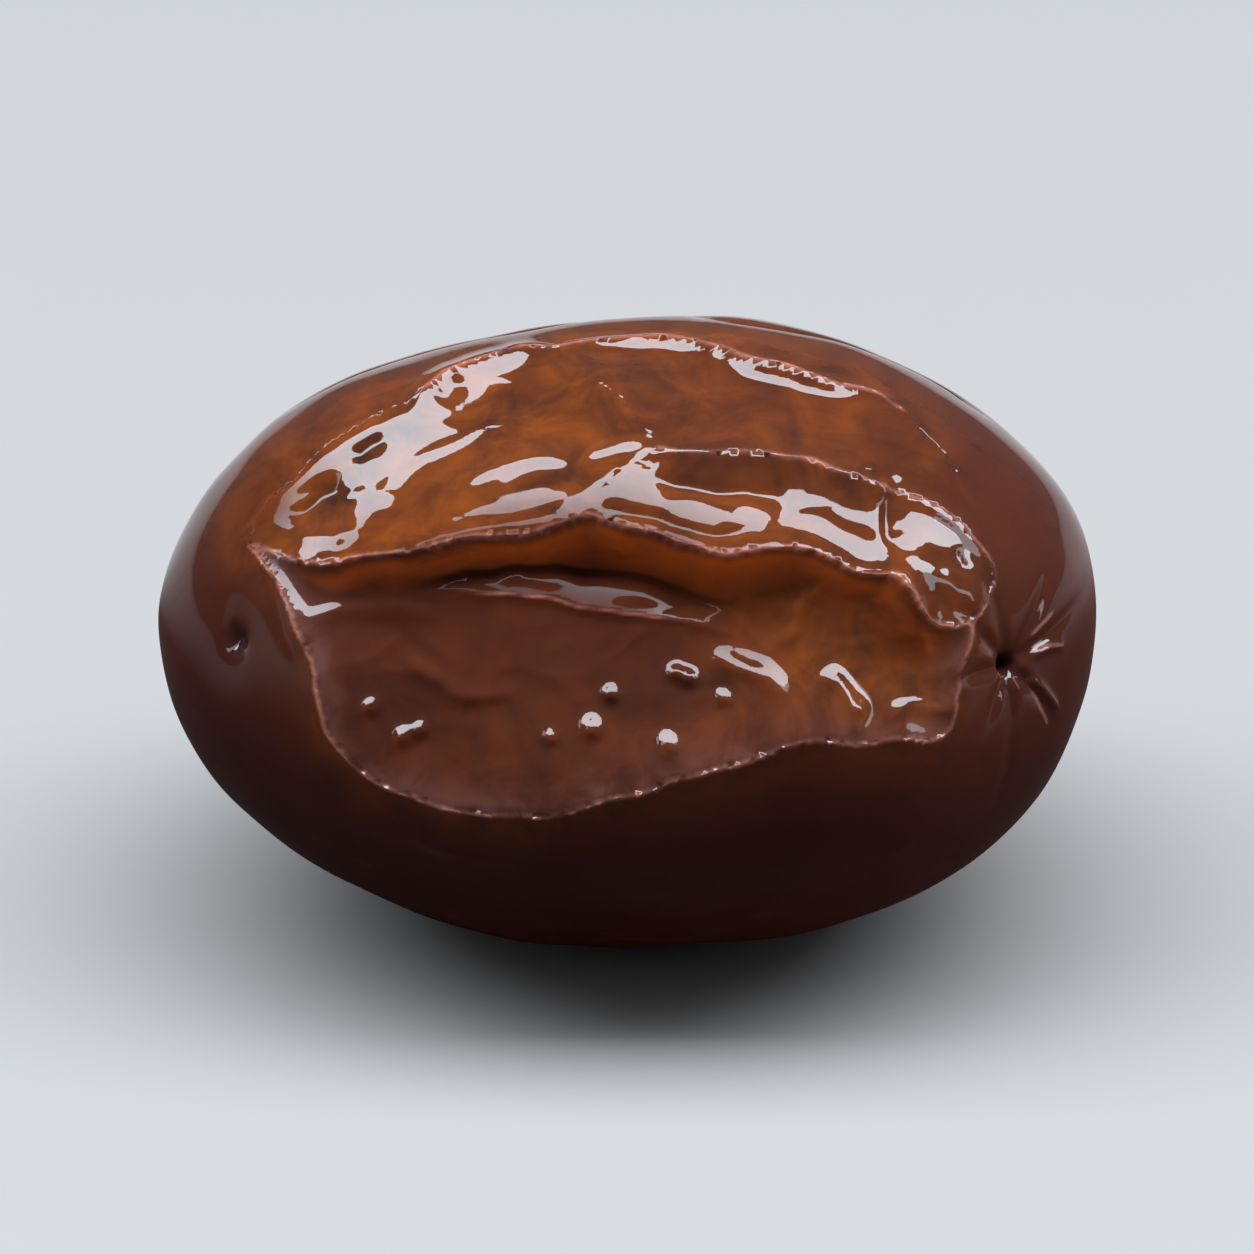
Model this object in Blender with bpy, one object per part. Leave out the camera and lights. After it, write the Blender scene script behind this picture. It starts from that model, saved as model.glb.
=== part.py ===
"""A whole cured olive, lying on its side on the small flat spot that its own weight has pressed into it.

The fruit is one solid. Its long axis lies along X, with the stem end at +X, and -Y is its front. The origin is
the middle of its footprint, on the surface that it rests on. Its form is worked out in three steps: a blunt
ellipsoid, the panels where the skin has sunk in between sharp crests, and the folds and marks on the skin.

A place on the skin is given as (share, roll): about the share of the half-length along X, from -1 at the tip to
1 at the stem end, and the roll round the long axis in degrees, 0 at the front, 90 on top and 180 at the back.
"""

import math

import bmesh
import bpy
import numpy as np

MM = 0.001

# The fruit before it shrank
LENGTH = 25.0 * MM
WIDTH = 17.3 * MM
HEIGHT = 16.9 * MM
BLUNTNESS = 2.12
TAPER = 0.05
BEND = 0.35 * MM
BEND_ROLL = 30.0
FLAT_SPOT_DEPTH = 0.22 * MM

# Gentle unevenness of the whole skin: the size of its lumps and their height
LUMPS = [(6.0 * MM, 0.20 * MM), (2.2 * MM, 0.044 * MM)]

# The crests: the length of their straight pieces, how far they wander from their drawn lines, and the bead of
# skin gathered along them
CREST_PIECE = 0.35 * MM
WANDERS = [(2.6 * MM, 0.30 * MM), (1.0 * MM, 0.17 * MM)]
CREST_ROUNDING = 0.09 * MM
WIDE_ROUNDING = 0.6 * MM
BEAD_HEIGHT = 0.09 * MM
BEAD_WIDTH = 0.34 * MM
BEAD_CHANGE_SIZE = 1.6 * MM

# The net of thin folds round small hollows
NET_CELL = 2.3 * MM
NET_STRETCH = 1.6
NET_FOLD_WIDTH = 0.19
NET_BEND_SIZE = 1.9 * MM
NET_BEND_REACH = 0.7 * MM

# The stem scar and the tip pit, in (share, roll)
SCAR_PLACE = (0.775, 21.5)
SCAR_PIT_RADIUS = 0.30 * MM
SCAR_PIT_DEPTH = 0.55 * MM
SCAR_DIMPLE_RADIUS = 2.2 * MM
SCAR_DIMPLE_DEPTH = 0.4 * MM
SCAR_CREASES = 8
SCAR_CREASE_REACH = 2.6 * MM
SCAR_CREASE_WIDTH = 0.26 * MM
SCAR_CREASE_DEPTH = 0.15 * MM
TIP_PLACE = (-0.79, 28.0)
TIP_PIT_RADIUS = 0.36 * MM
TIP_PIT_DEPTH = 0.20 * MM
TIP_DIMPLE_RADIUS = 1.8 * MM
TIP_DIMPLE_DEPTH = 0.25 * MM

SEED = 11
BALL_SUBDIVISIONS = 7
CREST_PULL = 0.085 * MM
FACE_SHARE = 0.13

# The points where crests meet, in (share, roll)
CORNERS = {
    "left": (-0.765, 54.0),
    "left_nose": (-0.56, 44.5),
    "ridge_middle": (-0.09, 50.0),
    "right_nose": (0.51, 40.5),
    "right": (0.68, 34.0),
    "lip_left": (-0.62, 21.0),
    "lip_right": (0.65, 18.0),
    "upper_left": (-0.72, 64.0),
    "upper_bend": (-0.42, 82.5),
    "upper_middle": (-0.12, 92.0),
    "band_middle": (0.06, 64.5),
    "brow_middle": (0.53, 58.5),
    "upper_right": (0.64, 54.5),
    "top_right": (0.56, 81.0),
    "back_left": (-0.70, 134.0),
    "back_middle": (0.06, 143.0),
    "back_right": (0.66, 133.0),
    "low_left": (-0.62, 160.0),
    "low_middle": (-0.12, 168.0),
    "low_right": (0.60, 163.0),
    "under_left": (-0.50, 197.0),
    "under_right": (0.42, 200.0),
}

# The crests with no bead along them, and those of them that are well rounded
BARE_CRESTS = {"band_step", "upper_step", "middle_low", "left_brow", "upper_left_ridge", "right_top"}
ROUNDED_CRESTS = {"left_brow", "upper_left_ridge", "upper_left_crest", "right_top"}

# Each crest: the corners that it runs between and the places that it passes
CRESTS = {
    "left_shoulder": ("left", "left_nose", [(-0.70, 50.0), (-0.63, 46.5)]),
    "ridge_left": ("left_nose", "ridge_middle", [(-0.43, 46.0), (-0.20, 48.0)]),
    "ridge_right": ("ridge_middle", "right_nose", [(0.05, 45.5), (0.22, 45.0), (0.40, 43.5)]),
    "right_shoulder": ("right_nose", "right", [(0.60, 32.0)]),
    "left_lip": ("left", "lip_left", [(-0.715, 46.0), (-0.655, 35.0)]),
    "front_lip": (
        "lip_left",
        "lip_right",
        [
            (-0.61, 11.0),
            (-0.53, 2.5),
            (-0.40, -2.0),
            (-0.23, -2.5),
            (-0.05, 2.0),
            (0.11, 6.0),
            (0.28, 10.5),
            (0.39, 12.5),
            (0.53, 10.5),
            (0.61, 8.0),
            (0.64, 11.0),
        ],
    ),
    "right_lip": ("right", "lip_right", [(0.675, 29.0), (0.655, 23.0)]),
    "left_brow": ("left", "upper_left", [(-0.765, 59.0)]),
    "right_brow": ("right", "upper_right", [(0.72, 45.0)]),
    "upper_left_ridge": ("upper_left", "upper_bend", [(-0.63, 71.5), (-0.51, 78.5)]),
    "upper_left_crest": ("upper_bend", "upper_middle", [(-0.34, 86.0), (-0.24, 90.0)]),
    "upper_step": ("upper_middle", "band_middle", [(-0.05, 79.0)]),
    "band_step": ("ridge_middle", "band_middle", [(-0.04, 57.0)]),
    "upper_right_ridge": ("band_middle", "brow_middle", [(0.21, 61.5), (0.38, 61.0)]),
    "brow_ridge": ("brow_middle", "upper_right", [(0.59, 57.0)]),
    "top_ridge": ("upper_middle", "top_right", [(0.03, 94.5), (0.20, 89.5), (0.36, 83.0), (0.47, 84.0)]),
    "right_top": ("upper_right", "top_right", [(0.65, 68.0)]),
    "back_left_ridge": ("back_left", "back_middle", [(-0.55, 140.0), (-0.36, 141.0), (-0.16, 135.0)]),
    "back_right_ridge": ("back_middle", "back_right", [(0.20, 149.0), (0.40, 143.0), (0.55, 134.0)]),
    "left_low": ("back_left", "low_left", [(-0.74, 147.0)]),
    "middle_low": ("back_middle", "low_middle", [(-0.02, 155.0)]),
    "right_low": ("back_right", "low_right", [(0.71, 148.0)]),
    "low_left_ridge": ("low_left", "low_middle", [(-0.45, 168.0), (-0.28, 164.0)]),
    "low_right_ridge": ("low_middle", "low_right", [(0.10, 175.0), (0.30, 172.0), (0.48, 168.0)]),
    "left_under": ("low_left", "under_left", [(-0.66, 176.0), (-0.60, 190.0)]),
    "right_under": ("low_right", "under_right", [(0.62, 178.0), (0.55, 193.0)]),
    "under_lip": ("under_left", "under_right", [(-0.30, 204.0), (-0.05, 198.0), (0.15, 206.0)]),
}

# Each panel: how deep its skin has sunk, how far in it reaches that depth, how high its net of folds stands,
# and the crests round it with how gently the skin falls from each. A crest that runs the other way has a minus
# sign.
PANELS = {
    "front_basin": (
        2.5 * MM,
        1.35 * MM,
        0.05 * MM,
        {
            "left_shoulder": 1.5,
            "ridge_left": 0.62,
            "ridge_right": 0.62,
            "right_shoulder": 1.5,
            "right_lip": 1.4,
            "-front_lip": 2.9,
            "-left_lip": 1.5,
        },
    ),
    "amber_left": (
        1.3 * MM,
        1.2 * MM,
        0.06 * MM,
        {
            "left_brow": 2.6,
            "upper_left_ridge": 1.3,
            "upper_left_crest": 1.3,
            "upper_step": 3.2,
            "-band_step": 4.2,
            "-ridge_left": 1.2,
            "-left_shoulder": 3.4,
        },
    ),
    "right_band": (
        0.55 * MM,
        0.9 * MM,
        0.05 * MM,
        {
            "band_step": 3.6,
            "upper_right_ridge": 1.1,
            "brow_ridge": 4.5,
            "-right_brow": 3.6,
            "-right_shoulder": 1.3,
            "-ridge_right": 1.3,
        },
    ),
    "top_right": (
        0.70 * MM,
        0.6 * MM,
        0.04 * MM,
        {
            "top_ridge": 0.85,
            "-right_top": 4.0,
            "-brow_ridge": 2.8,
            "-upper_right_ridge": 2.8,
            "-upper_step": 3.6,
        },
    ),
    "back_left": (
        1.0 * MM,
        1.0 * MM,
        0.08 * MM,
        {"back_left_ridge": 1.3, "middle_low": 1.6, "-low_left_ridge": 2.6, "-left_low": 2.4},
    ),
    "back_right": (
        0.8 * MM,
        1.0 * MM,
        0.08 * MM,
        {"back_right_ridge": 1.3, "right_low": 2.4, "-low_right_ridge": 2.4, "-middle_low": 1.8},
    ),
    "back_basin": (
        1.7 * MM,
        1.3 * MM,
        0.08 * MM,
        {
            "low_left_ridge": 0.9,
            "low_right_ridge": 0.9,
            "right_under": 2.2,
            "-under_lip": 2.8,
            "-left_under": 2.2,
        },
    ),
}

# Single folds: their height, below 0 for a groove or a dent, their half-width and the places that they pass
FOLDS = [
    (-0.60 * MM, 0.60 * MM, [(-0.46, 43.0), (-0.23, 43.5), (-0.02, 41.5), (0.24, 36.5)]),
    (0.12 * MM, 0.20 * MM, [(-0.46, 39.0), (-0.23, 36.5), (-0.02, 33.5), (0.23, 29.5)]),
    (0.15 * MM, 0.35 * MM, [(-0.46, 26.0), (-0.36, 19.0), (-0.22, 18.0)]),
    (0.14 * MM, 0.40 * MM, [(-0.64, 33.0), (-0.50, 36.0), (-0.38, 33.0)]),
    (0.08 * MM, 0.35 * MM, [(-0.62, 22.0), (-0.52, 25.0), (-0.46, 30.0)]),
    (0.24 * MM, 0.50 * MM, [(0.16, 24.0), (0.25, 23.5), (0.34, 18.0)]),
    (0.20 * MM, 0.38 * MM, [(0.40, 23.0), (0.43, 18.0), (0.44, 13.0)]),
    (0.12 * MM, 0.30 * MM, [(0.66, 13.0), (0.56, 16.0), (0.49, 15.0)]),
    (0.28 * MM, 1.30 * MM, [(0.50, 45.0), (0.60, 39.5), (0.71, 36.5)]),
    (0.22 * MM, 0.80 * MM, [(-0.47, 83.0), (-0.36, 86.5), (-0.26, 90.0), (-0.15, 93.0)]),
    (-0.20 * MM, 0.55 * MM, [(-0.72, 106.0), (-0.48, 113.0), (-0.20, 112.0), (0.06, 117.0)]),
    (-0.18 * MM, 0.50 * MM, [(0.10, 111.0), (0.34, 107.0), (0.60, 112.0), (0.76, 107.0)]),
    (-0.16 * MM, 0.45 * MM, [(-0.40, 125.0), (-0.10, 127.0), (0.22, 131.0), (0.42, 127.0)]),
    (0.20 * MM, 0.35 * MM, [(-0.44, 181.0), (-0.20, 178.0), (0.08, 186.0), (0.34, 184.0)]),
]


def unit(vectors):
    return vectors / np.linalg.norm(vectors, axis=1, keepdims=True)


def direction_of(places):
    """Unit vectors of (share, roll) places: X is the share, and the roll turns from the front over the top."""
    share, roll = np.asarray(places, float).T
    across = np.sqrt(np.clip(1.0 - share**2, 0.0, 1.0))
    turn = np.radians(roll)
    return np.stack([share, -across * np.cos(turn), across * np.sin(turn)], axis=1)


def place_of(direction):
    """The share and the roll of each unit vector, the roll from -90 to 270 so that its seam is underneath."""
    roll = np.degrees(np.arctan2(direction[:, 2], -direction[:, 1]))
    return direction[:, 0], np.where(roll < -90.0, roll + 360.0, roll)


def plain_fruit(direction):
    """Points of the blunt ellipsoid, fuller at the stem end, whose two ends bend a little towards the front."""
    along = direction[:, :1]
    across = np.linalg.norm(direction[:, 1:], axis=1, keepdims=True)
    swell = (np.abs(along) ** BLUNTNESS + across**BLUNTNESS) ** (-1.0 / BLUNTNESS)
    points = direction * swell * (LENGTH / 2, WIDTH / 2, HEIGHT / 2)
    points[:, 1:] *= 1.0 + TAPER * along
    bend = math.radians(BEND_ROLL)
    return points + BEND * along**2 * (0.0, -math.cos(bend), math.sin(bend))


def outward(direction):
    """Unit normals of the ellipsoid, near enough to those of the plain fruit."""
    return unit(direction / (LENGTH, WIDTH, HEIGHT))


def smooth_noise(points, seed):
    """Gradient noise, about -1 to 1: a random slope at each whole-number point, blended smoothly between."""
    draw = np.random.default_rng(seed)
    slopes = unit(draw.normal(size=(256, 3)))
    shuffle = draw.permutation(256)
    cell = np.floor(points).astype(int)
    inside = points - cell
    blend = inside**3 * (inside * (inside * 6.0 - 15.0) + 10.0)
    total = np.zeros(len(points))
    for corner in np.ndindex(2, 2, 2):
        at = cell + corner
        pick = shuffle[(shuffle[(shuffle[at[:, 0] % 256] + at[:, 1]) % 256] + at[:, 2]) % 256]
        weight = np.prod(np.where(corner, blend, 1.0 - blend), axis=1)
        total += weight * np.sum(slopes[pick] * (inside - corner), axis=1)
    return 1.7 * total


def fold_net(points, seed):
    """1 on a net of folds, falling to 0 in its hollows: it goes by how much nearer the nearest of many
    scattered points is than the second nearest, after noise has shifted the points to bend the folds."""
    bend = np.stack([smooth_noise(points / NET_BEND_SIZE, seed + axis) for axis in (1, 2, 3)], axis=1)
    spots = (points + NET_BEND_REACH * bend) / (NET_CELL * NET_STRETCH, NET_CELL, NET_CELL)
    offsets = np.random.default_rng(seed).random((1024, 3))
    cell = np.floor(spots).astype(int)
    nearest = np.full(len(spots), 9.0)
    second = nearest.copy()
    for corner in np.ndindex(3, 3, 3):
        at = cell + corner - 1
        pick = (at[:, 0] * 73856093 ^ at[:, 1] * 19349663 ^ at[:, 2] * 83492791) % 1024
        distance = np.linalg.norm(at + offsets[pick] - spots, axis=1)
        second = np.minimum(second, np.maximum(nearest, distance))
        nearest = np.minimum(nearest, distance)
    return np.exp(-(((second - nearest) / NET_FOLD_WIDTH) ** 1.5))


def smooth_through(places, count=12):
    """A Catmull-Rom curve through the places, with so many steps between each two."""
    knots = np.array([2 * np.array(places[0]) - places[1], *places, 2 * np.array(places[-1]) - places[-2]])
    before, start, end, after = knots[:-3], knots[1:-2], knots[2:-1], knots[3:]
    curve = []
    for share in np.arange(count) / count:
        bow = (end - before) * share + (2 * before - 5 * start + 4 * end - after) * share**2
        curve.append(start + (bow + (3 * start - before - 3 * end + after) * share**3) / 2)
    return np.vstack([np.stack(curve, axis=1).reshape(-1, 2), places[-1]])


def drawn_line(places):
    """Unit vectors at even steps along a smooth line through the places, which wanders as creases do."""
    line = smooth_through(places)
    points = plain_fruit(direction_of(line))
    for number, (size, reach) in enumerate(WANDERS):
        along = smooth_noise(points / size, SEED + 20 + number)
        round_axis = smooth_noise(points / size, SEED + 30 + number)
        line = line + np.stack([along / LENGTH, np.degrees(round_axis / WIDTH)], axis=1) * 2 * reach
    line = direction_of(line)
    pieces = np.linalg.norm(np.diff(plain_fruit(line), axis=0), axis=1)
    travelled = np.concatenate([[0.0], np.cumsum(pieces)])
    stops = np.linspace(0.0, travelled[-1], max(2, round(travelled[-1] / CREST_PIECE)) + 1)
    return unit(np.stack([np.interp(stops, travelled, line[:, axis]) for axis in range(3)], axis=1))


def crest_lines():
    """Each crest as unit vectors from corner to corner."""
    lines = {}
    for name, (start, end, between) in CRESTS.items():
        lines[name] = drawn_line([CORNERS[start], *between, CORNERS[end]])
    return lines


def rim_of(crests, lines):
    """The closed rim of a panel: its unit vectors, and the gentleness and the rounding of the piece that
    starts at each."""
    rim, gentleness, rounding = [], [], []
    for name, gentle in crests.items():
        line = lines[name.lstrip("-")]
        line = line[::-1] if name.startswith("-") else line
        rim.append(line[:-1])
        gentleness.append(np.full(len(line) - 1, gentle))
        wide = name.lstrip("-") in ROUNDED_CRESTS
        rounding.append(np.full(len(line) - 1, WIDE_ROUNDING if wide else CREST_ROUNDING))
    return np.vstack(rim), np.concatenate(gentleness), np.concatenate(rounding)


def within(rim, direction):
    """True where a unit vector lies inside the rim: the rim passes on one side of it an odd number of times."""
    share, roll = place_of(direction)
    starts = np.stack(place_of(rim), axis=1)
    inside = np.zeros(len(direction), bool)
    for (start_share, start_roll), (end_share, end_roll) in zip(starts, np.roll(starts, -1, axis=0)):
        spans = (start_roll > roll) != (end_roll > roll)
        slope = (end_share - start_share) / ((end_roll - start_roll) or 1.0)
        inside ^= spans & (share < start_share + slope * (roll - start_roll))
    return inside


def soft_distance(points, rim, gentleness, rounding):
    """(distance, rounding): the distance to a closed rim, as a mean over it, and the mean rounding of the rim
    there. The distance is pi divided by the sum, for each piece, of the angle that the piece fills as seen from
    the point over the height of the point above the piece's line. It meets the rim as true distance does, over
    the gentleness there, and has no crease in the middle of the panel."""
    pull, turn = np.zeros((2, len(points)))
    for start, end, gentle, rounded in zip(rim, np.roll(rim, -1, axis=0), gentleness, rounding):
        to_start, to_end = start - points, end - points
        area = np.maximum(np.linalg.norm(np.cross(to_start, to_end), axis=1), 1e-12)
        angle = np.arctan2(area, np.sum(to_start * to_end, axis=1))
        here = gentle * angle * np.linalg.norm(end - start) / area
        pull += here
        turn += rounded * here
    return math.pi / pull, turn / pull


def nearest_on_lines(direction, lines):
    """(distance, unit vector, along): how far each point of the plain fruit is from the nearest of the lines,
    the place on it, and the share of the lines' pieces that come before that place. The piece whose middle is
    nearest is taken, and the point is dropped onto it."""
    starts = np.vstack([line[:-1] for line in lines])
    ends = np.vstack([line[1:] for line in lines])
    start_points, end_points = plain_fruit(starts), plain_fruit(ends)
    middles = (start_points + end_points) / 2
    points = plain_fruit(direction)
    parts = np.array_split(points, 1 + len(points) // 4000)
    away = [np.sum(middles**2, axis=1) - 2 * part @ middles.T for part in parts]
    pick = np.concatenate([np.argmin(part, axis=1) for part in away])
    run = end_points[pick] - start_points[pick]
    share = np.sum((points - start_points[pick]) * run, axis=1) / np.sum(run * run, axis=1)
    share = np.clip(share, 0.0, 1.0)[:, None]
    distance = np.linalg.norm(start_points[pick] + share * run - points, axis=1)
    return distance, unit(starts[pick] * (1.0 - share) + ends[pick] * share), (pick + share[:, 0]) / len(starts)


def drawn_to_crests(direction, lines):
    """The unit vectors, those nearest a crest moved onto it, so that mesh edges run along the crests."""
    distance, on_crest, along = nearest_on_lines(direction, list(lines.values()))
    hold = np.clip(2.0 - distance / CREST_PULL, 0.0, 1.0)[:, None]
    return unit(direction + (on_crest - direction) * hold)


def sunken_panels(direction, lines):
    """How far the skin has sunk into the panels, less the height of their nets of folds."""
    points = plain_fruit(direction)
    net = fold_net(points, SEED)
    sink = np.zeros(len(points))
    for depth, fall, net_height, crests in PANELS.values():
        rim, gentleness, rounding = rim_of(crests, lines)
        held = np.flatnonzero(within(rim, direction))
        distance, turn = soft_distance(points[held], plain_fruit(rim), gentleness, rounding)
        rounded = np.sqrt(distance**2 + turn**2) - turn
        panel = 1.0 - np.exp(-rounded / fall)
        sink[held] = depth * panel - net_height * net[held] * np.minimum(1.0, 2.0 * panel)
    return sink


def beads_and_folds(direction, lines):
    """The bead along the crests, higher in some places than in others, and the single folds."""
    points = plain_fruit(direction)
    distance = nearest_on_lines(direction, [line for name, line in lines.items() if name not in BARE_CRESTS])[0]
    strength = np.clip(0.6 + 0.6 * smooth_noise(points / BEAD_CHANGE_SIZE, SEED + 4), 0.0, 1.2)
    rise = BEAD_HEIGHT * strength * np.exp(-((distance / BEAD_WIDTH) ** 2))
    for height, width, places in FOLDS:
        distance, on_fold, along = nearest_on_lines(direction, [drawn_line(places)])
        taper = np.clip(6.0 * along * (1.0 - along), 0.0, 1.0)
        rise += height * taper / (1.0 + (distance / width) ** 2) ** 2
    return rise


def end_marks(direction):
    """How far the stem scar and the tip pit go in: a dimple, a round pit and creases out of the scar."""
    points = plain_fruit(direction)
    scar, tip = plain_fruit(direction_of([SCAR_PLACE, TIP_PLACE]))
    from_scar = np.linalg.norm(points - scar, axis=1)
    from_tip = np.linalg.norm(points - tip, axis=1)
    depth = SCAR_DIMPLE_DEPTH * np.exp(-((from_scar / SCAR_DIMPLE_RADIUS) ** 2))
    depth += SCAR_PIT_DEPTH * np.exp(-((from_scar / SCAR_PIT_RADIUS) ** 4))
    depth += TIP_DIMPLE_DEPTH * np.exp(-((from_tip / TIP_DIMPLE_RADIUS) ** 2))
    depth += TIP_PIT_DEPTH * np.exp(-((from_tip / TIP_PIT_RADIUS) ** 2))
    out = outward(direction_of([SCAR_PLACE]))[0]
    level = np.cross(out, (0.0, 0.0, 1.0))
    level /= np.linalg.norm(level)
    turn = np.arctan2((points - scar) @ np.cross(out, level), (points - scar) @ level)
    draw = np.random.default_rng(SEED)
    for number in range(SCAR_CREASES):
        at = 2.0 * math.pi * (number + draw.uniform(-0.3, 0.3)) / SCAR_CREASES
        reach = SCAR_CREASE_REACH * draw.uniform(0.5, 1.0)
        off = np.abs(np.sin((turn - at) / 2.0)) * 2.0 * from_scar
        fade = np.exp(-((from_scar / reach) ** 2)) * np.clip(from_scar / SCAR_PIT_RADIUS, 0.0, 1.0)
        depth += SCAR_CREASE_DEPTH * fade * np.exp(-((off / SCAR_CREASE_WIDTH) ** 2))
    return depth


def skin(direction):
    """The finished skin: the plain fruit moved along its normals by lumps, panels, beads, folds and marks."""
    lines = crest_lines()
    direction = drawn_to_crests(direction, lines)
    points = plain_fruit(direction)
    rise = sum(height * smooth_noise(points / size, SEED + 3) for size, height in LUMPS)
    rise += beads_and_folds(direction, lines) - sunken_panels(direction, lines) - end_marks(direction)
    return points + outward(direction) * rise[:, None]


def settled(points):
    """The points with the fruit's footprint centred on the origin, and its underside below the surface by the
    depth of the flat spot."""
    low, high = points.min(axis=0), points.max(axis=0)
    middle = (low + high) / 2
    return points - (middle[0], middle[1], low[2] + FLAT_SPOT_DEPTH)


def skin_material():
    material = bpy.data.materials.new("dark_glossy_skin")
    material.use_nodes = True
    shader = material.node_tree.nodes["Principled BSDF"]
    shader.inputs["Base Color"].default_value = (0.085, 0.024, 0.012, 1.0)
    shader.inputs["Roughness"].default_value = 0.2
    shader.inputs["Metallic"].default_value = 0.0
    return material


def floor_cutter():
    """A block below the surface that the fruit rests on, which cuts its flat spot."""
    shape = bpy.data.meshes.new("floor_cutter")
    block = bmesh.new()
    bmesh.ops.create_cube(block, size=LENGTH * 2)
    bmesh.ops.translate(block, verts=block.verts, vec=(0.0, 0.0, -LENGTH))
    block.to_mesh(shape)
    block.free()
    cutter = bpy.data.objects.new("floor_cutter", shape)
    bpy.context.collection.objects.link(cutter)
    cutter.hide_render = True
    cutter.display_type = "WIRE"
    return cutter


def olive(cutter):
    """A ball of small triangles, moved to the skin, thinned where it is smooth and cut flat below."""
    shape = bpy.data.meshes.new("olive")
    ball = bmesh.new()
    bmesh.ops.create_icosphere(ball, subdivisions=BALL_SUBDIVISIONS, radius=1.0)
    ball.to_mesh(shape)
    ball.free()
    places = np.empty(len(shape.vertices) * 3, np.float32)
    shape.vertices.foreach_get("co", places)
    directions = unit(places.reshape(-1, 3).astype(float))
    shape.vertices.foreach_set("co", settled(skin(directions)).astype(np.float32).ravel())
    shape.shade_smooth()
    shape.materials.append(skin_material())
    fruit = bpy.data.objects.new("olive", shape)
    bpy.context.collection.objects.link(fruit)
    thin = fruit.modifiers.new("fewer faces where smooth", "DECIMATE")
    thin.ratio = FACE_SHARE
    flat = fruit.modifiers.new("flat spot", "BOOLEAN")
    flat.operation = "DIFFERENCE"
    flat.solver = "EXACT"
    flat.object = cutter
    return fruit


def main():
    for thing in list(bpy.data.objects):
        bpy.data.objects.remove(thing)
    olive(floor_cutter())


main()
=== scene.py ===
"""The looks of a whole cured olive: its wrinkled, oily skin, on a pale floor in soft light.

The skin is one closed surface over two parameters, the way along the fruit and the way round it. It
has the same form as the fruit's solid, with the finer folds that the solid is too coarse to hold. A
place on it is given as (share, roll): about the share of the half-length along X, from -1 at the tip
to 1 at the stem end, and the roll round the long axis in degrees, 0 at the front, 90 on top and 180
at the back.
"""

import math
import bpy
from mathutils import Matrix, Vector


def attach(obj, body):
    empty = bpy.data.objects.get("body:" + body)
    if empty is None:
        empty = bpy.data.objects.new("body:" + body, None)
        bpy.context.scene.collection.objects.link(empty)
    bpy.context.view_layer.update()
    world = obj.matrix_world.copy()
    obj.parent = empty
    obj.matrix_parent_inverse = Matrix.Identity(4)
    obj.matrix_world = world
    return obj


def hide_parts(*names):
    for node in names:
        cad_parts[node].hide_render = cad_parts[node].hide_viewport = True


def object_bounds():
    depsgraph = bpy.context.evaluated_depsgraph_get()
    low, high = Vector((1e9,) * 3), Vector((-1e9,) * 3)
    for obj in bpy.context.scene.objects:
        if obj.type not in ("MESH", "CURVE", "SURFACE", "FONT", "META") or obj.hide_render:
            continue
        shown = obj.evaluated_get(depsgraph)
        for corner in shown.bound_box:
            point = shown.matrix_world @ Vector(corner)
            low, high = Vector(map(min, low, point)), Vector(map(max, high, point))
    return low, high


bl_info = {
    "name": "Cured olive",
    "version": (1, 0, 0),
    "blender": (4, 5, 0),
    "location": "View3D > Sidebar > Olive",
    "description": "Builds the wrinkled, oily skin of a whole cured olive, and a pale stage to see it on",
    "category": "Add Mesh",
}

import bpy
import numpy as np
from bpy.props import FloatProperty, FloatVectorProperty, IntProperty, PointerProperty
from mathutils import Vector

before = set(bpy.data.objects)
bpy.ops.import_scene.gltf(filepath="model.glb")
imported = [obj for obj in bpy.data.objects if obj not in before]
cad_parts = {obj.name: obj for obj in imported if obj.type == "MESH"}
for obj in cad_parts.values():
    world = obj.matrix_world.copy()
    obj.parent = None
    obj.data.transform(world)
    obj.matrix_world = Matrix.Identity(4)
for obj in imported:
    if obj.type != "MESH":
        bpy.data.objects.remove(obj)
CAD_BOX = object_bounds()

MM = 0.001
SEED = 11

# The fruit's blunt ellipsoid
BLUNTNESS = 2.12
TAPER = 0.05
BEND = 0.35 * MM
BEND_ROLL = 30.0

# Gentle unevenness of the whole skin: the size of its lumps and how high they are, as a share of the
# highest
LUMPS = [(6.0 * MM, 1.0), (2.2 * MM, 0.22)]

# The crests: the length of their straight pieces, how far they wander from their drawn lines, and the
# bead of skin gathered along them
CREST_PIECE = 0.35 * MM
WANDERS = [(2.6 * MM, 0.30 * MM), (1.0 * MM, 0.17 * MM)]
CREST_ROUNDING = 0.09 * MM
WIDE_ROUNDING = 0.6 * MM
BEAD_WIDTH = 0.24 * MM
BEAD_CHANGE_SIZE = 1.6 * MM

# How near a crest a point of the grid is pulled onto it
CREST_PULL = 0.07 * MM

# The net of thin folds round small hollows
NET_CELL = 2.3 * MM
NET_STRETCH = 1.6
NET_FOLD_WIDTH = 0.19
NET_BEND_SIZE = 1.9 * MM
NET_BEND_REACH = 0.7 * MM

# The stem scar and the tip pit, in (share, roll)
SCAR_PLACE = (0.775, 21.5)
SCAR_PIT_RADIUS = 0.25 * MM
SCAR_PIT_DEPTH = 0.55 * MM
SCAR_DIMPLE_RADIUS = 2.2 * MM
SCAR_DIMPLE_DEPTH = 0.4 * MM
SCAR_CREASES = 8
SCAR_CREASE_REACH = 2.6 * MM
SCAR_CREASE_WIDTH = 0.2 * MM
SCAR_CREASE_DEPTH = 0.15 * MM
TIP_PLACE = (-0.79, 28.0)
TIP_PIT_RADIUS = 0.36 * MM
TIP_PIT_DEPTH = 0.20 * MM
TIP_DIMPLE_RADIUS = 1.8 * MM
TIP_DIMPLE_DEPTH = 0.25 * MM

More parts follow.
